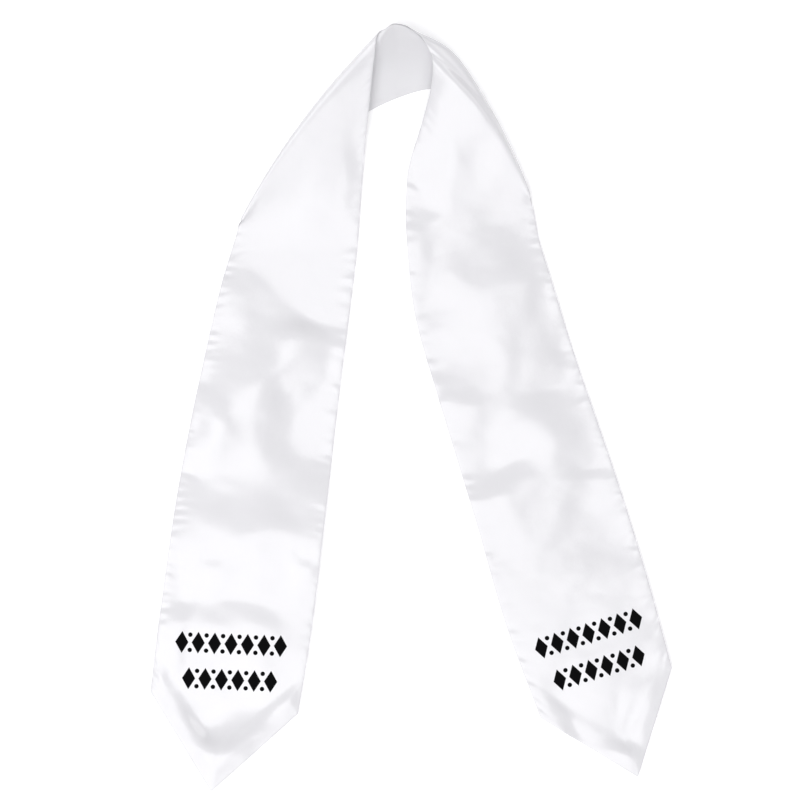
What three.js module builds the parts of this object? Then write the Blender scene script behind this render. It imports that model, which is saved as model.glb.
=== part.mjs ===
import * as THREE from 'three';

// Graduation stole of two-layer satin, laid flat with its legs apart, in mm.
// X runs across the legs, +Y towards the neck and +Z up from the surface.
const layWidth = 467;
const layLength = 683;
const panelWidth = 133;
const pointLength = 80;
const neckRise = 34;
const clothWall = 1;
const layerGap = 0.3;
const seamGap = 0.3;
const foldHeight = 4;
const restingFullness = 0.25;

const stripsAcross = 8;
const stepsBetweenRows = 4;

const satinWhite = 0xf6f6f9;
const liningWhite = 0xe6e6ec;

// Each row is one straight line of the cloth, from the inner seam to the outer seam, and the rows run
// from the corners of the pointed end to the middle of the neck.
// x and y place the inner seam as shares of layWidth and layLength, z as a share of neckRise.
// turn is the direction of the line in degrees, and reach its length as a share of panelWidth.
// outerZ lifts the outer seam, and swell and crown bow the middle of the line out and up.
const middleRow = { x: -0.033, y: 0.996, z: 1, turn: -87, reach: 0.484, outerZ: 0, swell: 0, crown: -0.24 };

const leftRows = [
  { x: -0.216, y: 0.1, z: 0, turn: 171.5, reach: 0.998, outerZ: 0, swell: 0, crown: 0 },
  { x: -0.19, y: 0.209, z: 0, turn: 171.5, reach: 1.02, outerZ: 0, swell: 0, crown: 0 },
  { x: -0.163, y: 0.362, z: 0, turn: 171, reach: 1.0, outerZ: 0, swell: 0, crown: 0 },
  { x: -0.138, y: 0.512, z: 0, turn: 170.5, reach: 0.937, outerZ: 0, swell: 0, crown: 0 },
  { x: -0.115, y: 0.636, z: 0, turn: 173, reach: 0.877, outerZ: 0, swell: 0, crown: 0 },
  { x: -0.103, y: 0.705, z: 0, turn: 181, reach: 0.844, outerZ: 0, swell: 0, crown: 0 },
  { x: -0.095, y: 0.778, z: 0.03, turn: 195.9, reach: 0.858, outerZ: 0.02, swell: 0, crown: 0.03 },
  { x: -0.087, y: 0.845, z: 0.2, turn: 213.6, reach: 1.02, outerZ: 0.05, swell: 0, crown: 0.05 },
  { x: -0.079, y: 0.903, z: 0.45, turn: 224.3, reach: 1.214, outerZ: 0.12, swell: 0.02, crown: 0.1 },
  { x: -0.071, y: 0.954, z: 0.7, turn: 230.9, reach: 1.4, outerZ: 0.17, swell: 0.05, crown: 0.12 },
  { x: -0.065, y: 0.98, z: 0.85, turn: 233.2, reach: 1.515, outerZ: 0.14, swell: 0.06, crown: 0.06 },
  { x: -0.057, y: 0.988, z: 0.87, turn: 235.6, reach: 1.441, outerZ: 0.01, swell: 0.05, crown: -0.2 },
  { x: -0.049, y: 0.99, z: 0.915, turn: 239.2, reach: 1.102, outerZ: 0, swell: 0, crown: -0.25 },
  { x: -0.041, y: 0.994, z: 0.965, turn: 244.9, reach: 0.751, outerZ: 0, swell: 0, crown: -0.24 },
  middleRow,
];

const rightRows = [
  { x: 0.245, y: 0.095, z: 0, turn: 20.7, reach: 0.941, outerZ: 0, swell: 0, crown: 0 },
  { x: 0.178, y: 0.219, z: 0, turn: 18, reach: 0.998, outerZ: 0, swell: 0, crown: 0 },
  { x: 0.123, y: 0.349, z: 0, turn: 17.5, reach: 0.985, outerZ: 0, swell: 0, crown: 0 },
  { x: 0.053, y: 0.506, z: 0, turn: 17, reach: 0.957, outerZ: 0, swell: 0, crown: 0 },
  { x: 0.007, y: 0.617, z: 0, turn: 13, reach: 0.945, outerZ: 0, swell: 0, crown: 0 },
  { x: -0.007, y: 0.695, z: 0, turn: 7, reach: 0.887, outerZ: 0.01, swell: 0, crown: 0.02 },
  { x: -0.011, y: 0.76, z: 0.03, turn: -3, reach: 0.861, outerZ: 0.04, swell: 0, crown: 0.06 },
  { x: -0.005, y: 0.812, z: 0.12, turn: -17.6, reach: 0.866, outerZ: 0.1, swell: 0, crown: 0.16 },
  { x: 0.018, y: 0.864, z: 0.3, turn: -34.2, reach: 0.892, outerZ: 0.17, swell: 0.01, crown: 0.24 },
  { x: 0.037, y: 0.914, z: 0.5, turn: -47.7, reach: 0.989, outerZ: 0.24, swell: 0.03, crown: 0.26 },
  { x: 0.041, y: 0.942, z: 0.68, turn: -52.8, reach: 1.066, outerZ: 0.25, swell: 0.07, crown: 0.18 },
  { x: 0.033, y: 0.963, z: 0.82, turn: -54.6, reach: 1.121, outerZ: 0.15, swell: 0.09, crown: 0 },
  { x: 0.02, y: 0.976, z: 0.9, turn: -52.5, reach: 0.887, outerZ: 0.02, swell: 0.095, crown: -0.15 },
  { x: 0.003, y: 0.987, z: 0.95, turn: -46.6, reach: 0.632, outerZ: 0, swell: 0.055, crown: -0.22 },
  { x: -0.015, y: 0.994, z: 0.99, turn: -58.7, reach: 0.48, outerZ: 0, swell: 0, crown: -0.24 },
  middleRow,
];

// Soft folds of the face layer, each a low swelling. x, y and turn place it as a row is placed, length
// and width are shares of panelWidth, and height is a share of foldHeight.
// flatSpans is how many spans of rows have folds before the cloth turns over.
const leftFolds = {
  flatSpans: 8,
  rows: [
    { x: -0.39, y: 0.17, turn: -40, length: 0.35, width: 0.09, height: 0.6 },
    { x: -0.36, y: 0.275, turn: -5, length: 0.5, width: 0.16, height: 0.7 },
    { x: -0.36, y: 0.45, turn: 48, length: 0.4, width: 0.12, height: 0.8 },
    { x: -0.23, y: 0.53, turn: 20, length: 0.3, width: 0.14, height: 0.5 },
    { x: -0.33, y: 0.6, turn: 62, length: 0.3, width: 0.12, height: 0.6 },
    { x: -0.22, y: 0.7, turn: 70, length: 0.6, width: 0.2, height: 0.6 },
  ],
};

const rightFolds = {
  flatSpans: 9,
  rows: [
    { x: 0.42, y: 0.12, turn: -60, length: 0.35, width: 0.09, height: 0.6 },
    { x: 0.33, y: 0.25, turn: 15, length: 0.5, width: 0.16, height: 0.5 },
    { x: 0.24, y: 0.42, turn: -30, length: 0.4, width: 0.12, height: 0.7 },
    { x: 0.18, y: 0.57, turn: 20, length: 0.45, width: 0.13, height: 0.6 },
    { x: 0.1, y: 0.71, turn: -15, length: 0.4, width: 0.14, height: 0.7 },
    { x: 0.1, y: 0.84, turn: -65, length: 0.35, width: 0.1, height: 0.6 },
  ],
};

// Height of the cloth's middle over the surface where it lies flat
const layZ = clothWall + layerGap / 2;

function readRow(row) {
  const angle = THREE.MathUtils.degToRad(row.turn);
  const along = new THREE.Vector3(Math.cos(angle), Math.sin(angle), 0);
  const inner = new THREE.Vector3(
    row.x * layWidth,
    (row.y - 0.5) * layLength,
    layZ + row.z * neckRise,
  );
  const outer = inner.clone().addScaledVector(along, row.reach * panelWidth);
  outer.z = layZ + row.outerZ * neckRise;
  return { inner, outer, along };
}

// The side on which a line bows out is away from the middle of the stole
function bowedMiddle(row, { inner, outer, along }, side) {
  const out = new THREE.Vector3(-along.y, along.x, 0).multiplyScalar(side);
  const middle = inner.clone().lerp(outer, 0.5);
  middle.addScaledVector(out, row.swell * panelWidth);
  middle.z += row.crown * neckRise;
  return middle;
}

// The spline runs on to the first row past the middle of the neck, so that both halves meet in line
function makeCloth(rows, rowPastMiddle, side) {
  const splineRows = [...rows, rowPastMiddle];
  const lines = splineRows.map(readRow);
  const thread = (points) => new THREE.CatmullRomCurve3(points, false, 'centripetal');
  const inner = thread(lines.map((line) => line.inner));
  const outer = thread(lines.map((line) => line.outer));
  const middle = thread(splineRows.map((row, i) => bowedMiddle(row, lines[i], side)));
  const endSlope = lines[0].along;
  const pointWay = new THREE.Vector3(endSlope.y, -endSlope.x, 0).multiplyScalar(side);
  const spans = rows.length - 1;

  // u runs from the pointed end to the neck and v from the inner seam to the outer seam, both 0 to 1
  function place(u, v) {
    const along = (u * spans) / (spans + 1);
    const point = new THREE.Vector3();
    point.addScaledVector(inner.getPoint(along), (1 - v) * (1 - 2 * v));
    point.addScaledVector(middle.getPoint(along), 4 * v * (1 - v));
    point.addScaledVector(outer.getPoint(along), v * (2 * v - 1));
    const pointShare = Math.max(0, 1 - u * spans) * (1 - Math.abs(2 * v - 1));
    point.addScaledVector(pointWay, pointShare * pointLength);
    point.z = Math.max(point.z, layZ);
    return point;
  }

  function slope(u, v) {
    const step = 1e-3;
    const u0 = Math.max(0, u - step);
    return place(u + step, v).sub(place(u0, v));
  }

  function normal(u, v) {
    const step = 1e-3;
    const v0 = Math.max(0, v - step);
    const v1 = Math.min(1, v + step);
    const across = place(u, v1).sub(place(u, v0));
    return across.cross(slope(u, v)).multiplyScalar(side).normalize();
  }

  // The last line of each half stops half a gap short of the middle of the neck
  function sewnPlace(u, v) {
    const point = place(u, v);
    if (u === 1) {
      point.addScaledVector(slope(u, v).normalize(), -seamGap / 2);
    }
    return point;
  }

  return { place: sewnPlace, normal, spans, side };
}

// How far the face layer stands off the lining at a place, from its fullness and its soft folds
function fullness(folds, point, v) {
  const toSeams = 1 - (2 * v - 1) ** 4;
  let height = restingFullness;
  for (const fold of folds) {
    const angle = THREE.MathUtils.degToRad(fold.turn);
    const dx = point.x - fold.x * layWidth;
    const dy = point.y - (fold.y - 0.5) * layLength;
    const along = (dx * Math.cos(angle) + dy * Math.sin(angle)) / (fold.length * panelWidth);
    const across = (dy * Math.cos(angle) - dx * Math.sin(angle)) / (fold.width * panelWidth);
    height += fold.height * Math.exp(-(along ** 2) - across ** 2);
  }
  return foldHeight * height * toSeams;
}

// A closed wall of cloth, where lift gives the place of its underside over the cloth's middle
function layer(cloth, lift) {
  const steps = cloth.spans * stepsBetweenRows;
  const columns = stripsAcross + 1;
  const underside = [];
  const topside = [];
  for (let i = 0; i <= steps; i += 1) {
    for (let j = 0; j < columns; j += 1) {
      const u = i / steps;
      const v = j / stripsAcross;
      const point = cloth.place(u, v);
      const normal = cloth.normal(u, v);
      const low = lift(u, v, point);
      underside.push(point.clone().addScaledVector(normal, low));
      topside.push(point.clone().addScaledVector(normal, low + clothWall));
    }
  }
  const grid = underside.length;
  const index = [];
  const quad = (a, b, c, d) => {
    const turned = cloth.side > 0 ? [a, b, c, a, c, d] : [a, c, b, a, d, c];
    index.push(...turned);
  };
  for (let i = 0; i < steps; i += 1) {
    for (let j = 0; j < stripsAcross; j += 1) {
      const a = i * columns + j;
      quad(a, a + columns, a + columns + 1, a + 1);
      quad(grid + a, grid + a + 1, grid + a + columns + 1, grid + a + columns);
    }
  }
  const wall = (a, b) => quad(a, b, grid + b, grid + a);
  for (let j = 0; j < stripsAcross; j += 1) {
    wall(j, j + 1);
    wall(steps * columns + j + 1, steps * columns + j);
  }
  for (let i = 0; i < steps; i += 1) {
    wall((i + 1) * columns, i * columns);
    wall(i * columns + stripsAcross, (i + 1) * columns + stripsAcross);
  }
  const geometry = new THREE.BufferGeometry();
  geometry.setFromPoints([...underside, ...topside]);
  geometry.setIndex(index);
  geometry.computeVertexNormals();
  return geometry;
}

function satin(color) {
  return new THREE.MeshStandardMaterial({ color, roughness: 0.38, metalness: 0 });
}

function makeHalf(name, rows, rowPastMiddle, folds, side) {
  const cloth = makeCloth(rows, rowPastMiddle, side);
  const flatSpans = folds.flatSpans;
  const overLining = (u, v, point) => {
    const fade = THREE.MathUtils.smoothstep(flatSpans + 1 - u * cloth.spans, 0, 1);
    return layerGap / 2 + fade * fullness(folds.rows, point, v);
  };
  const face = new THREE.Mesh(layer(cloth, overLining), satin(satinWhite));
  face.name = `${name}_face`;
  const backOffset = -layerGap / 2 - clothWall;
  const lining = new THREE.Mesh(layer(cloth, () => backOffset), satin(liningWhite));
  lining.name = `${name}_lining`;
  return [face, lining];
}

const stole = new THREE.Group();
stole.add(...makeHalf('left', leftRows, rightRows.at(-2), leftFolds, -1));
stole.add(...makeHalf('right', rightRows, leftRows.at(-2), rightFolds, 1));

// The origin is under the middle of the laid stole
const extent = new THREE.Box3().setFromObject(stole);
const middle = extent.getCenter(new THREE.Vector3());
stole.position.set(-middle.x, -middle.y, -extent.min.z);

export default stole;
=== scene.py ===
import math

import bpy
import numpy as np
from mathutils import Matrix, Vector


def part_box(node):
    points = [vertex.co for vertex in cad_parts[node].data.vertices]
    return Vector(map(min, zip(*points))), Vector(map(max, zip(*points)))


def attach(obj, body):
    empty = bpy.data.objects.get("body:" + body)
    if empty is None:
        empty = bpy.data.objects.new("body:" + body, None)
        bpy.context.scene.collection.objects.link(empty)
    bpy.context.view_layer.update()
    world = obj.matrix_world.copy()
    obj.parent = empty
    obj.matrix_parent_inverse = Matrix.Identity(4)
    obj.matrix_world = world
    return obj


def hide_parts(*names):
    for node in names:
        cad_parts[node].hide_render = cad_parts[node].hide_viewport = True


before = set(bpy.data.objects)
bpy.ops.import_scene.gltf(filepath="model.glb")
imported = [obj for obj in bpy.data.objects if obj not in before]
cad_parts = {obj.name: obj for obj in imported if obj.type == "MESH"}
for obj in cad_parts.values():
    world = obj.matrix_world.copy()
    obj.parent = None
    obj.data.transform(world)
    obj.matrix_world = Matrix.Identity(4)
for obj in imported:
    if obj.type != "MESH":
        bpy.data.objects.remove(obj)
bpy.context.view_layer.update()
bpy.ops.object.select_all(action="DESELECT")
print("frame loaded")

mm = 0.001

# The lay of the whole stole, in metres. X runs across the legs, +Y to the neck, Z up from the floor.
stole = {
    "layWidth": 0.467,
    "layLength": 0.683,
    "panelWidth": 0.133,
    "pointLength": 0.080,
    "neckRise": 0.034,
    "wall": 0.0005,
    "layerGap": 0.0003,
    "neckSeamGap": 0.00002,
    "looseLift": 0.0060,  # how high the loose cloth of the legs lies, where no fold lowers it
    "floorSoftness": 0.0007,  # how softly it comes down to the floor
}

# Rows of cloth from the pointed end to the neck: x and y of the inner seam as shares of the lay,
# z as a share of neckRise, turn of the line in degrees, reach as a share of panelWidth,
# outerZ as a share of neckRise, and swell and crown that bow its middle out and up
middleRow = (-0.033, 0.996, 1, -87, 0.484, 0, 0, -0.22)

leftHalf = {
    "side": -1,
    "seed": 11,
    "foldRow": 10.4,  # from this row to the neck the cloth takes none of the legs' folds
    "printMiddle": (-161, -227),  # in mm
    "printTurn": -2.5,  # in degrees
    "border": 1.0,  # how strongly the seam allowance shows inside the point
    "ripple": 0.22,  # in mm
    "heldLift": 0.62,  # the share of looseLift that is left at the seams
    # painted shade over this half's whole face satin: none on this half
    "paintedShade": 1.0,
    # Pulls on the cloth: row, share, spread of each, and the way in mm
    "pulls": [
        (14, 0.68, 2.0, 0.2, 0, 0, 1.2),
    ],
    "rows": [
        (-0.216, 0.1, 0, 171.5, 0.998, 0, 0, 0),
        (-0.19, 0.209, 0, 171.5, 1.02, 0, 0, 0),
        (-0.163, 0.362, 0, 171, 1.0, 0, 0, 0),
        (-0.138, 0.512, 0, 170.5, 0.937, 0, 0, 0),
        (-0.115, 0.636, 0, 173, 0.877, 0, 0, 0),
        (-0.103, 0.705, 0, 181, 0.844, 0, 0, 0),
        (-0.095, 0.778, 0.03, 195.9, 0.858, 0.02, 0, 0.03),
        (-0.087, 0.845, 0.16, 213.6, 1.02, 0.05, 0, 0.03),
        (-0.079, 0.903, 0.38, 224.3, 1.214, 0.1, 0.02, 0.02),
        (-0.071, 0.954, 0.64, 230.9, 1.4, 0.15, 0.05, 0),
        (-0.065, 0.98, 0.84, 233.2, 1.515, 0.14, 0.06, -0.02),
        (-0.057, 0.988, 0.87, 235.6, 1.441, 0.01, 0.05, -0.19),
        (-0.049, 0.99, 0.915, 239.2, 1.102, 0, 0, -0.22),
        (-0.041, 0.994, 0.965, 244.9, 0.751, 0, 0, -0.22),
        middleRow,
    ],
    # Soft folds: x, y in mm, the way the cloth falls in degrees, half length, half width, fall in mm
    "folds": [
        (-146, 124, 70, 26, 25, 5.2),
        (-115, 82, 62, 36, 33, 6.4),
        (-102, 72, 66, 22, 14, 2.4),
        (-76, 71, 72, 28, 16, 3.4),
        (-150, 36, 86, 28, 26, 6.4),
        (-178, 1, 80, 20, 15, 4.2),
        (-94, -33, 88, 38, 24, 5.0),
        (-84, -65, 95, 18, 17, 2.6),
        (-148, -90, 88, 95, 27, 6.4),
        (-201, -63, 80, 8, 5, 0.8),
        (-172, -137, 80, 8, 5, 0.9),
        (-94, -137, 80, 8, 6, 1.1),
        (-153, -185, 85, 42, 13, 2.8),
        (-209, -182, 80, 10, 10, 2.0),
        (-53, 215, 0, 28, 8, 1.1),
        (-54, 176, 20, 10, 6, 0.8),
        (-224, -260, 70, 10, 8, 1.5),
        (-198, -287, 66, 26, 14, 2.2),
        (-144, -282, 110, 36, 15, 3.2),
        (-170, -294, 88, 22, 12, 3.4),
        (-174, -293, 132, 18, 5, 1.1),
    ],
}

rightHalf = {
    "side": 1,
    "seed": 12,
    "foldRow": 11,
    "printMiddle": (162, -217),
    "printTurn": 17,
    "border": 0.45,
    "ripple": 0.4,
    "heldLift": 0.8,
    # painted shade: this half's face satin is made darker, for less light falls on it
    "paintedShade": 0.98,
    "pulls": [
        (12.4, 0.3, 1.2, 0.2, 3, 3, 1),
        (15, 0.68, 2.0, 0.2, 0, 0, 1.2),
    ],
    "rows": [
        (0.245, 0.095, 0, 20.7, 0.941, 0, 0, 0),
        (0.178, 0.219, 0, 18, 0.998, 0, 0, 0),
        (0.123, 0.349, 0, 17.5, 0.985, 0, 0, 0),
        (0.053, 0.506, 0, 17, 0.957, 0, 0, 0),
        (0.007, 0.617, 0, 13, 0.945, 0, 0, 0),
        (-0.007, 0.695, 0, 7, 0.887, 0.01, 0, 0.02),
        (-0.011, 0.76, 0.03, -3, 0.861, 0.04, 0, 0.06),
        (-0.005, 0.812, 0.1, -17.6, 0.866, 0.1, 0, 0.1),
        (0.018, 0.864, 0.26, -34.2, 0.892, 0.15, 0.01, 0.14),
        (0.037, 0.914, 0.46, -47.7, 0.989, 0.2, 0.03, 0.16),
        (0.041, 0.942, 0.66, -52.8, 1.066, 0.22, 0.07, 0.12),
        (0.033, 0.963, 0.82, -54.6, 1.121, 0.15, 0.09, 0),
        (0.02, 0.976, 0.9, -52.5, 0.887, 0.02, 0.095, -0.15),
        (0.003, 0.987, 0.95, -46.6, 0.632, 0, 0.055, -0.2),
        (-0.015, 0.994, 0.99, -58.7, 0.48, 0, 0, -0.22),
        middleRow,
    ],
    "folds": [
        (83, 138, 80, 40, 31, 5.4),
        (4, 167, 80, 14, 16, 2.5),
        (-1, 195, 70, 7, 5, 0.8),
        (117, 71, 90, 11, 11, 1.1),
        (133, 43, 90, 12, 8, 0.8),
        (43, 18, 90, 22, 16, 3.0),
        (117, -5, 85, 30, 18, 3.4),
        (66, -66, 95, 28, 15, 3.2),
        (90, -60, 115, 18, 10, 1.6),
        (141, -59, 60, 12, 11, 1.5),
        (160, -61, 90, 16, 6, 0.8),
        (138, -140, 100, 75, 26, 1.7),
        (110, -105, 80, 40, 22, 1.5),
        (90, 60, 85, 44, 24, 1.6),
        (150, -215, 85, 60, 48, 2.6),
        (100, 0, 85, 60, 45, 1.6),
        (47, 247, 20, 32, 14, 1.7),
        (13, 265, 161, 32, 10, 1.0),
        (128, -278, 60, 16, 8, 1.5),
        (140, -290, 40, 22, 7, 1.6),
        (177, -298, 80, 16, 6, 1.2),
        (194, -303, 85, 9, 6, 2.2),
        (187, -276, 175, 22, 4, 0.7),
        (204, -272, 175, 16, 4, 0.7),
    ],
}


# Points on the thread through given points, where at counts in points
def threadThrough(points, at):
    points = np.asarray(points, float)
    ghostStart = 2 * points[0] - points[1]
    ghostEnd = 2 * points[-1] - points[-2]
    padded = np.vstack([ghostStart, points, ghostEnd])
    first = np.clip(np.floor(at).astype(int), 0, len(points) - 2)
    share = (at - first)[:, None]
    p0, p1, p2, p3 = (padded[first + k] for k in range(4))

    def knot(a, b):
        return np.sqrt(np.linalg.norm(b - a, axis=1))[:, None]

    d0, d1, d2 = knot(p0, p1), knot(p1, p2), knot(p2, p3)
    t1 = ((p1 - p0) / d0 - (p2 - p0) / (d0 + d1) + (p2 - p1) / d1) * d1
    t2 = ((p2 - p1) / d1 - (p3 - p1) / (d1 + d2) + (p3 - p2) / d2) * d1
    square = -3 * p1 + 3 * p2 - 2 * t1 - t2
    cube = 2 * p1 - 2 * p2 + t1 + t2
    return p1 + t1 * share + square * share**2 + cube * share**3


def readRow(row):
    x, y, z, turn, reach, outerZ, swell, crown = row
    angle = math.radians(turn)
    along = np.array([math.cos(angle), math.sin(angle), 0])
    inner = np.array([x * stole["layWidth"], (y - 0.5) * stole["layLength"], z * stole["neckRise"]])
    outer = inner + along * reach * stole["panelWidth"]
    outer[2] = outerZ * stole["neckRise"]
    return inner, outer, along, swell, crown


def bowedMiddle(row, side):
    inner, outer, along, swell, crown = readRow(row)
    out = np.array([-along[1], along[0], 0]) * side
    middle = (inner + outer) / 2 + out * swell * stole["panelWidth"]
    middle[2] += crown * stole["neckRise"]
    return middle


# The middle surface of one half: rows count from the pointed end, shares run from inner to outer seam
def layCloth(half, rowPastMiddle, rows, shares):
    side = half["side"]
    given = half["rows"] + [rowPastMiddle]
    inner = threadThrough([readRow(r)[0] for r in given], rows)[:, None, :]
    outer = threadThrough([readRow(r)[1] for r in given], rows)[:, None, :]
    middle = threadThrough([bowedMiddle(r, side) for r in given], rows)[:, None, :]
    v = shares[None, :, None]
    cloth = inner * (1 - v) * (1 - 2 * v) + middle * 4 * v * (1 - v) + outer * v * (2 * v - 1)
    endLine = readRow(half["rows"][0])[2]
    pointWay = np.array([endLine[1], -endLine[0], 0]) * side
    pointShare = np.maximum(0, 1 - rows)[:, None, None] * (1 - np.abs(2 * v - 1))
    cloth = cloth + pointShare * stole["pointLength"] * pointWay
    for row, share, rowSpread, shareSpread, dx, dy, dz in half["pulls"]:
        near = np.exp(-((rows - row) / rowSpread)[:, None, None] ** 2 - ((v - share) / shareSpread) ** 2)
        cloth = cloth + near * np.array([dx, dy, dz]) * mm
    cloth[..., 2] = np.maximum(cloth[..., 2], 0)
    return cloth


def normalsOf(grid, side):
    alongRows = np.gradient(grid, axis=0)
    acrossRows = np.gradient(grid, axis=1)
    normal = np.cross(acrossRows, alongRows) * side
    return normal / np.maximum(np.linalg.norm(normal, axis=2, keepdims=True), 1e-12)


def smoothStep(value, low, high):
    t = np.clip((value - low) / (high - low), 0, 1)
    return t * t * (3 - 2 * t)


# Waves of many lengths, the same on each run
def waveNoise(x, y, lengths, count, seed):
    chance = np.random.default_rng(seed)
    total = np.zeros_like(x)
    for _ in range(count):
        length = chance.uniform(*lengths)
        heading, phase = chance.uniform(0, 2 * math.pi, 2)
        total += np.sin((x * math.cos(heading) + y * math.sin(heading)) * 2 * math.pi / length + phase)
    return total / math.sqrt(count)


foldShape = {
    "bend": 0.0035,  # how far a fold wanders from its straight line
    "bendLengths": (0.04, 0.09),
    "bendWaves": 16,
    "roundedEdge": 0.1,
    "fadeDown": 0.05,
    "fadeAcross": 0.5,
}


# Each fold is a slope of even steepness that eases back to the lie of the cloth round it
def foldField(folds, x, y, seed):
    shape = foldShape
    warpedX = x + shape["bend"] * waveNoise(x, y, shape["bendLengths"], shape["bendWaves"], seed)
    warpedY = y + shape["bend"] * waveNoise(x, y, shape["bendLengths"], shape["bendWaves"], seed + 1)
    rounded = shape["roundedEdge"]
    height = np.zeros_like(x)
    for fx, fy, turn, halfLength, halfWidth, fall in folds:
        angle = math.radians(turn)
        dx, dy = warpedX - fx * mm, warpedY - fy * mm
        down = (dx * math.cos(angle) + dy * math.sin(angle)) / (halfWidth * mm)
        across = (dy * math.cos(angle) - dx * math.sin(angle)) / (halfLength * mm)
        ramp = (np.sqrt((down + 1) ** 2 + rounded) - np.sqrt((down - 1) ** 2 + rounded)) / 2
        fade = np.exp(-shape["fadeDown"] * down**2 - shape["fadeAcross"] * np.abs(across) ** 3)
        height -= fall * mm * ramp * fade
    return height


clothGrid = {
    "rowStep": 0.0013,
    "columns": 62,
    "quickRowStep": 0.003,
    "quickColumns": 30,
    "probeRows": 6000,
    "seamCrowding": 0.55,  # how much closer the columns stand by the seams
    "smoothAngle": 50,
}


def makeGrid(half, rowPastMiddle, rowStep, columns):
    coarse = np.linspace(0, len(half["rows"]) - 1, clothGrid["probeRows"])
    probe = layCloth(half, rowPastMiddle, coarse, np.array([0.0, 0.5, 1.0]))
    step = np.linalg.norm(np.diff(probe, axis=0), axis=2).max(axis=1)
    travelled = np.concatenate([[0], np.cumsum(step)])
    count = int(round(travelled[-1] / rowStep))
    rows = np.interp(np.linspace(0, travelled[-1], count + 1), travelled, coarse)
    t = np.linspace(0, 1, columns + 1)
    shares = t - clothGrid["seamCrowding"] * np.sin(2 * math.pi * t) / (2 * math.pi)
    return layCloth(half, rowPastMiddle, rows, shares), rows, shares


# The CAD moves the lay so that the origin is under its middle
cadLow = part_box("left_face")[0]
tipOfLeft = layCloth(leftHalf, rightHalf["rows"][-2], np.array([0.0]), np.array([0.5, 1.0]))[0]
layShift = np.array([cadLow[0] - tipOfLeft[1][0], cadLow[1] - tipOfLeft[0][1], 0])
print("lay moves by", [round(float(s) * 1000, 3) for s in layShift], "mm")

seams = {
    "pucker": 0.00013,
    "puckerReach": 0.008,
    "puckerWaves": 14,
    "puckerLengths": (0.008, 0.026),
    "puckerGroups": (0.03, 0.08),
    "puckerLean": 0.35,
    "puff": 0.0005,
    "puffRun": 0.0013,
    "standingPuff": 0.35,  # the share of puff and border that stays where the cloth stands up
    "settleRun": 0.06,
    "pointBorder": 0.0018,
    "borderFrom": 0.014,
    "borderTo": 0.025,
    "borderChange": 0.25,
    "borderLengths": (0.03, 0.07),
    "borderWaves": 12,
}


# Small gathers that run in from both seams
def seamPuckers(seamRun, acrossRun, seed):
    chance = np.random.default_rng(seed)
    lineWidth = acrossRun[:, -1:]
    pucker = np.zeros_like(acrossRun)
    for edge, fromSeam in ((0, acrossRun), (-1, lineWidth - acrossRun)):
        edgeRun = seamRun[:, [edge]]
        gathers = np.zeros_like(acrossRun)
        for _ in range(seams["puckerWaves"]):
            length = chance.uniform(*seams["puckerLengths"])
            group = chance.uniform(*seams["puckerGroups"])
            phase, groupPhase = chance.uniform(0, 2 * math.pi, 2)
            lean = chance.uniform(-seams["puckerLean"], seams["puckerLean"])
            strength = 0.5 + 0.5 * np.sin(edgeRun * 2 * math.pi / group + groupPhase)
            gathers += strength * np.sin((edgeRun + fromSeam * lean) * 2 * math.pi / length + phase)
        pucker += seams["pucker"] * gathers * np.exp(-(fromSeam / seams["puckerReach"]) ** 1.5)
    return pucker


# Each half's own ripple, and a finer one over both
ripples = {
    "lengths": (0.03, 0.09),
    "waves": 24,
    "fineRipple": 0.05,  # in mm
    "fineLengths": (0.012, 0.03),
}


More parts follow.
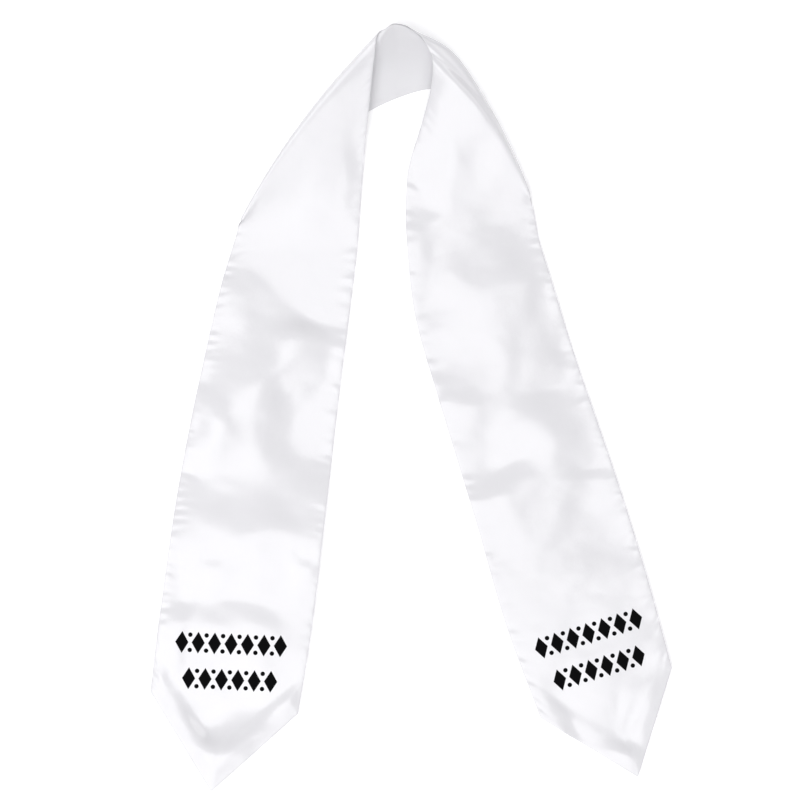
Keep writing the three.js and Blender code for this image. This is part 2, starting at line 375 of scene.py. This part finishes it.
def dressHalf(half, rowPastMiddle, rowStep, columns):
    seed = half["seed"]
    cloth, rows, shares = makeGrid(half, rowPastMiddle, rowStep, columns)
    cloth = cloth + layShift
    width, pointLength = stole["panelWidth"], stole["pointLength"]
    seamRun = np.vstack([np.zeros(len(shares)),
                         np.cumsum(np.linalg.norm(np.diff(cloth, axis=0), axis=2), axis=0)])
    acrossRun = np.hstack([np.zeros((len(rows), 1)),
                           np.cumsum(np.linalg.norm(np.diff(cloth, axis=1), axis=2), axis=1)])
    toSide = np.minimum(acrossRun, acrossRun[:, -1:] - acrossRun)
    toPoint = seamRun * 0.5 * width / math.hypot(0.5 * width, pointLength)
    toEdge = np.minimum(toSide, toPoint)
    flat = smoothStep(half["foldRow"] - rows, 0, 1)[:, None]
    x, y = cloth[..., 0], cloth[..., 1]

    # the cloth of the legs waves over the floor
    wave = foldField(half["folds"], x - layShift[0], y - layShift[1], seed + 20)
    wave += half["ripple"] * mm * waveNoise(x, y, ripples["lengths"], ripples["waves"], seed)
    fineWave = waveNoise(x, y, ripples["fineLengths"], ripples["waves"], seed + 5)
    wave += ripples["fineRipple"] * mm * fineWave
    settled = smoothStep(toSide, 0, seams["settleRun"]) * smoothStep(toPoint, 0, seams["settleRun"])
    settled = half["heldLift"] + (1 - half["heldLift"]) * settled
    soft = stole["floorSoftness"]
    middle = cloth.copy()
    middle[..., 2] += soft * np.logaddexp(0, (wave + stole["looseLift"] * settled) / soft) * flat
    middle[..., 2] += stole["wall"] + stole["layerGap"] / 2
    normal = normalsOf(middle, half["side"])

    # the face stands up from its seams, and over the seam allowance inside the point
    puff = seams["puff"] * (1 - np.exp(-toEdge / seams["puffRun"]))
    border = seams["pointBorder"] * (1 - smoothStep(toPoint, seams["borderFrom"], seams["borderTo"]))
    change = seams["borderChange"] * waveNoise(x, y, seams["borderLengths"], seams["borderWaves"], seed + 7)
    border *= smoothStep(toEdge, 0, seams["borderFrom"]) * (half["border"] + change)
    kept = seams["standingPuff"] + (1 - seams["standingPuff"]) * flat
    faceLift = (puff + border) * kept + seamPuckers(seamRun, acrossRun, seed + 1)
    halfGap = stole["layerGap"] / 2 + stole["wall"]
    face = middle + normal * (halfGap + np.maximum(faceLift, 0))[..., None]
    lining = middle - normal * halfGap

    # nothing sinks into the floor, and the last line stops short of the neck seam
    lastStep = middle[-1] - middle[-2]
    lastStep /= np.linalg.norm(lastStep, axis=1, keepdims=True)
    for layer in (face, lining):
        layer[..., 2] = np.maximum(layer[..., 2], 0)
        layer[-1] -= lastStep * stole["neckSeamGap"] / 2

    # each place on the flat cloth, and its place from the middle of the print, seen from above
    middleRun = seamRun[:, [len(shares) // 2]]
    pointShare = np.maximum(0, 1 - rows)[:, None] * (1 - np.abs(2 * shares - 1))
    lineRun = middleRun - pointLength * np.minimum(1, rows)[:, None]
    along = lineRun + pointLength * (1 - pointShare)
    across = np.broadcast_to(shares * width, along.shape)
    turn = math.radians(half["printTurn"])
    printX = x - layShift[0] - half["printMiddle"][0] * mm
    printY = y - layShift[1] - half["printMiddle"][1] * mm
    turned = np.dstack([printX * math.cos(turn) + printY * math.sin(turn),
                        printY * math.cos(turn) - printX * math.sin(turn)])
    return face, lining, {"cloth": np.dstack([across, along]), "print": turned}


def clothPiece(name, grid, maps, outward):
    rows, columns = grid.shape[:2]
    number = np.arange(rows * columns).reshape(rows, columns)
    a, b = number[:-1, :-1].ravel(), number[:-1, 1:].ravel()
    c, d = number[1:, 1:].ravel(), number[1:, :-1].ravel()
    quads = np.stack([a, b, c, d] if outward > 0 else [a, d, c, b], axis=1)
    cloth = bpy.data.meshes.new(name)
    cloth.from_pydata(grid.reshape(-1, 3).tolist(), [], quads.tolist())
    for mapName, places in maps.items():
        layer = cloth.uv_layers.new(name=mapName)
        layer.data.foreach_set("uv", places.reshape(-1, 2)[quads.ravel()].ravel().astype(np.float32))
    piece = bpy.data.objects.new(name, cloth)
    bpy.context.scene.collection.objects.link(piece)
    bpy.ops.object.select_all(action="DESELECT")
    piece.select_set(True)
    bpy.context.view_layer.objects.active = piece
    wall = piece.modifiers.new("wall", "SOLIDIFY")
    wall.thickness = stole["wall"]
    wall.offset = -1
    wall.use_rim = True
    bpy.ops.object.modifier_apply(modifier="wall")
    bpy.ops.object.shade_smooth_by_angle(angle=math.radians(clothGrid["smoothAngle"]))
    return piece


# A shader socket that takes part in sums
class Shade:
    def __init__(self, tree, socket):
        self.tree = tree
        self.socket = socket

    def node(self, kind, settings=None, inputs=None, output=0):
        made = self.tree.nodes.new(kind)
        for key, value in (settings or {}).items():
            setattr(made, key, value)
        for key, value in (inputs or {}).items():
            if isinstance(value, Shade):
                self.tree.links.new(value.socket, made.inputs[key])
            else:
                made.inputs[key].default_value = value
        return Shade(self.tree, made.outputs[output])

    def maths(self, operation, *others):
        values = dict(enumerate((self, *others)))
        return self.node("ShaderNodeMath", {"operation": operation}, values)

    def __add__(self, other):
        return self.maths("ADD", other)

    __radd__ = __add__

    def __mul__(self, other):
        return self.maths("MULTIPLY", other)

    __rmul__ = __mul__

    def __sub__(self, other):
        return self.maths("SUBTRACT", other)

    def __rsub__(self, other):
        return self.node("ShaderNodeMath", {"operation": "SUBTRACT"}, {0: other, 1: self})

    def __abs__(self):
        return self.maths("ABSOLUTE")

    def clamped(self):
        return self.node("ShaderNodeClamp", None, {0: self})

    # the place within one repeat, from -0.5 to 0.5
    def repeated(self):
        return (self + 0.5).maths("FRACT") - 0.5


def newFinish(name, constants):
    finish = bpy.data.materials.new(name)
    finish.use_nodes = True
    shader = finish.node_tree.nodes["Principled BSDF"]
    for key, value in constants.items():
        shader.inputs[key].default_value = value
    return finish, shader, Shade(finish.node_tree, shader.outputs[0])


satin = {
    "white": (0.824, 0.82, 0.84, 1),
    "shade": (0.788, 0.783, 0.81, 1),
    "gloss": 0.66,
    "sheen": 0.12,
    "sheenRoughness": 0.4,
    "roughness": 0.23,
    "liningRoughness": 0.3,
    "slubRoughness": 0.1,  # how much the slubs change the roughness, half of it each way
    # painted shade: the lining satin is darker all over, for it lies in the shade of the neck
    "liningPaintedShade": 0.955,
    # painted shade in a thin line along the seams of face and lining, partly the seam allowance showing
    # through
    "seamShadeWidth": 0.0015,
    "faceSeamPaintedShade": 0.965,
    "liningSeamPaintedShade": 0.82,
    "slubScale": (900, 90, 1),
    "cloudScale": 28.0,
    "cloudShare": 0.6,
    "threadPitch": 0.0004,
    "twillPitch": 0.0016,
    "reliefOfWarp": 0.5,
    "reliefOfWeft": 0.3,
    "reliefOfSlub": 1.2,
    "reliefStrength": 0.5,
    "reliefHeight": 0.000012,
}

# A plain ornament of lozenges and dots in two rows, in black
prints = {
    "rowsApart": 0.032,
    "pitch": 0.0146,
    "upperCount": 7,
    "lowerCount": 6,
    "halfLozenge": (0.0060, 0.0100),
    "dot": 0.0021,
    "dotHeight": 0.0068,
    "lozengeSharpness": 25,
    "dotSharpness": 6,
    "endSharpness": 5000,
    "dotsStop": 0.3,  # the last dots stand this share of a pitch inside the row's end
    "ink": (0.003, 0.003, 0.0035, 1),
    "inkRoughness": 0.8,
    "inkGloss": 0.04,
}


# a colour darkened by painted shade
def toneOf(colour, paintedShade):
    return tuple(part * paintedShade for part in colour[:3]) + (1,)


def splitPlace(place):
    x = place.node("ShaderNodeSeparateXYZ", None, {0: place})
    return x, Shade(place.tree, x.socket.node.outputs[1])


def ornamentMask(start):
    x, y = splitPlace(start.node("ShaderNodeUVMap", {"uv_map": "print"}))
    pitch, (halfX, halfY) = prints["pitch"], prints["halfLozenge"]
    mask = None
    for middle, count in ((prints["rowsApart"] / 2, prints["upperCount"]),
                          (-prints["rowsApart"] / 2, prints["lowerCount"])):
        half = 0.5 if count % 2 == 0 else 0
        fromRow = abs(y - middle)
        lozenge = 1 - (abs((x * (1 / pitch) + half).repeated()) * (pitch / halfX) + fromRow * (1 / halfY))
        dotX = (x * (1 / pitch) + half + 0.5).repeated() * pitch
        dotY = fromRow - prints["dotHeight"]
        dot = 1 - (dotX * dotX + dotY * dotY) * (1 / prints["dot"] ** 2)
        inside = ((0.5 * count * pitch - abs(x)) * prints["endSharpness"]).clamped()
        dotEnd = (0.5 * count - prints["dotsStop"]) * pitch
        between = ((dotEnd - abs(x)) * prints["endSharpness"]).clamped()
        lozenges = (lozenge * prints["lozengeSharpness"]).clamped() * inside
        dots = (dot * prints["dotSharpness"]).clamped() * between
        row = lozenges.maths("MAXIMUM", dots)
        mask = row if mask is None else mask.maths("MAXIMUM", row)
    return mask


# The finish takes a painted shade over all of it, and a deeper painted shade along its seams
def satinFinish(name, paintedShade, seamPaintedShade, roughness, printed):
    finish, shader, start = newFinish(name, {
        "Specular IOR Level": satin["gloss"],
        "Sheen Weight": satin["sheen"],
        "Sheen Roughness": satin["sheenRoughness"],
    })
    cloth = start.node("ShaderNodeUVMap", {"uv_map": "cloth"})
    across, along = splitPlace(cloth)

    # long slubs in the warp, the fine threads both ways, and a faint cloudiness
    streaks = start.node("ShaderNodeMapping", None, {"Vector": cloth, "Scale": satin["slubScale"]})
    slub = start.node("ShaderNodeTexNoise", None, {"Vector": streaks, "Scale": 1.0, "Detail": 3.0})
    cloud = start.node("ShaderNodeTexNoise", None, {
        "Vector": cloth, "Scale": satin["cloudScale"], "Detail": 2.0})
    threads = 2 * math.pi / satin["threadPitch"]
    warp = (across * threads).maths("SINE")
    weft = (along * threads + across * (2 * math.pi / satin["twillPitch"])).maths("SINE")
    height = warp * satin["reliefOfWarp"] + weft * satin["reliefOfWeft"] + slub * satin["reliefOfSlub"]
    bump = start.node("ShaderNodeBump", None, {
        "Height": height, "Strength": satin["reliefStrength"], "Distance": satin["reliefHeight"]})

    # a thin line of painted shade along the seams, where the layers lie pressed together; a little of it is
    # the seam allowance showing through
    width, pointLength = stole["panelWidth"], stole["pointLength"]
    fromMiddle = abs(across - width / 2)
    pointSlant = 0.5 * width / math.hypot(0.5 * width, pointLength)
    toPoint = (along - fromMiddle * (2 * pointLength / width)) * pointSlant
    toEdge = (width / 2 - fromMiddle).maths("MINIMUM", toPoint)
    inner = (toEdge * (1 / satin["seamShadeWidth"])).clamped()
    mottle = slub * (1 - satin["cloudShare"]) + cloud * satin["cloudShare"]
    slubbed = start.node("ShaderNodeMix", {"data_type": "RGBA"}, {
        0: mottle, 6: toneOf(satin["shade"], paintedShade), 7: toneOf(satin["white"], paintedShade)}, 2)
    colour = start.node("ShaderNodeMix", {"data_type": "RGBA"}, {
        0: inner, 6: toneOf(satin["shade"], paintedShade * seamPaintedShade), 7: slubbed}, 2)
    grain = satin["slubRoughness"]
    roughened = slub * grain + (roughness - grain / 2)
    links = start.tree.links
    links.new(colour.socket, shader.inputs["Base Color"])
    links.new(roughened.socket, shader.inputs["Roughness"])
    links.new(bump.socket, shader.inputs["Normal"])
    if printed:
        ink = start.node("ShaderNodeBsdfPrincipled", None, {
            "Base Color": prints["ink"],
            "Roughness": prints["inkRoughness"],
            "Specular IOR Level": prints["inkGloss"],
            "Normal": bump,
        })
        both = start.node("ShaderNodeMixShader", None, {0: ornamentMask(start), 1: start, 2: ink})
        links.new(both.socket, start.tree.nodes["Material Output"].inputs["Surface"])
    return finish


# the lining satin carries painted shade all over and along its seams
liningSatin = satinFinish("liningSatin", satin["liningPaintedShade"], satin["liningSeamPaintedShade"],
                          satin["liningRoughness"], False)
print("lining satin made")

rowStep, columns = clothGrid["rowStep"], clothGrid["columns"]
for name, half, otherHalf in (("left", leftHalf, rightHalf), ("right", rightHalf, leftHalf)):
    face, lining, maps = dressHalf(half, otherHalf["rows"][-2], rowStep, columns)
    # each half's face satin carries its own painted shade
    faceSatin = satinFinish(f"{name}FaceSatin", half["paintedShade"], satin["faceSeamPaintedShade"], satin["roughness"], True)
    facePiece = clothPiece(f"{name}Face", face, maps, half["side"])
    liningPiece = clothPiece(f"{name}Lining", lining, maps, -half["side"])
    for piece, finish, node, recordSlot in (
        (facePiece, faceSatin, f"{name}_face", "face_satin"),
        (liningPiece, liningSatin, f"{name}_lining", "lining_satin"),
    ):
        piece.data.materials.append(finish)
        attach(piece, "root")
        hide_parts(node)
    print(name, "half laid:", len(facePiece.data.polygons), "faces a layer")

# Floor, lights and camera
stage = {
    "floorSize": 40,
    "floorDrop": 0.0004,
    "paper": (0.93, 0.93, 0.935, 1),
    "paperRoughness": 0.9,
    "paperGlow": 0.28,
    "sky": (0.975, 0.965, 1, 1),
    "skyStrength": 0.25,
    "cameraHeight": 8.0,
    "seenWidth": 0.7223,
    "lookX": -0.0049,
    "lookY": 0.0004,
    # Soft boxes: place, aim, size across and along, turn in degrees, power in watts
    "softBoxes": {
        "overhead": ((-3.0, -3.2, 9.2), (-3.0, -3.2, 0), 9.0, 9.2, -8, 775),
        "overRight": ((4.0, -5.4, 9.2), (4.0, -5.4, 0), 3.8, 4.2, -8, 150),
        "front": ((0, -8.5, 5.0), (0, 0, 0), 5.0, 2.5, 0, 50),
        "frontLeft": ((-5.5, -5, 3.4), (0, 0, 0), 4.0, 2.5, 0, 36),
        "frontRight": ((5.5, -5, 3.4), (0, 0, 0), 4.0, 2.5, 0, 36),
        "behindLeft": ((-5.5, 5, 3.4), (0, 0, 0), 4.0, 2.5, 0, 110),
        "behindRight": ((5.5, 5, 3.4), (0, 0, 0), 4.0, 2.5, 0, 110),
    },
}

bpy.ops.mesh.primitive_plane_add(size=stage["floorSize"], location=(0, 0, -stage["floorDrop"]))
floor = bpy.context.object
floor.name = "floor"
paper = newFinish("paper", {
    "Base Color": stage["paper"],
    "Roughness": stage["paperRoughness"],
    "Emission Color": (1, 1, 1, 1),
    "Emission Strength": stage["paperGlow"],
})[0]
floor.data.materials.append(paper)

world = bpy.data.worlds.new("studio")
bpy.context.scene.world = world
world.use_nodes = True
world.node_tree.nodes["Background"].inputs[0].default_value = stage["sky"]
world.node_tree.nodes["Background"].inputs[1].default_value = stage["skyStrength"]


def softBox(name, place, aim, sizeX, sizeY, turn, power):
    light = bpy.data.lights.new(name, "AREA")
    light.shape = "RECTANGLE"
    light.size = sizeX
    light.size_y = sizeY
    light.energy = power
    box = bpy.data.objects.new(name, light)
    bpy.context.scene.collection.objects.link(box)
    box.location = place
    facing = (Vector(aim) - Vector(place)).to_track_quat("-Z", "Y")
    box.rotation_euler = facing.to_euler()
    box.rotation_euler.rotate_axis("Z", math.radians(turn))


for name, values in stage["softBoxes"].items():
    softBox(name, *values)

lens = bpy.data.cameras.new("camera")
lens.sensor_width = 36
lens.lens = lens.sensor_width * stage["cameraHeight"] / stage["seenWidth"]
lens.clip_end = 100
camera = bpy.data.objects.new("camera", lens)
bpy.context.scene.collection.objects.link(camera)
camera.location = (layShift[0] + stage["lookX"], layShift[1] + stage["lookY"], stage["cameraHeight"])
bpy.context.scene.camera = camera
bpy.context.scene.view_settings.view_transform = "Standard"
print("stage set")
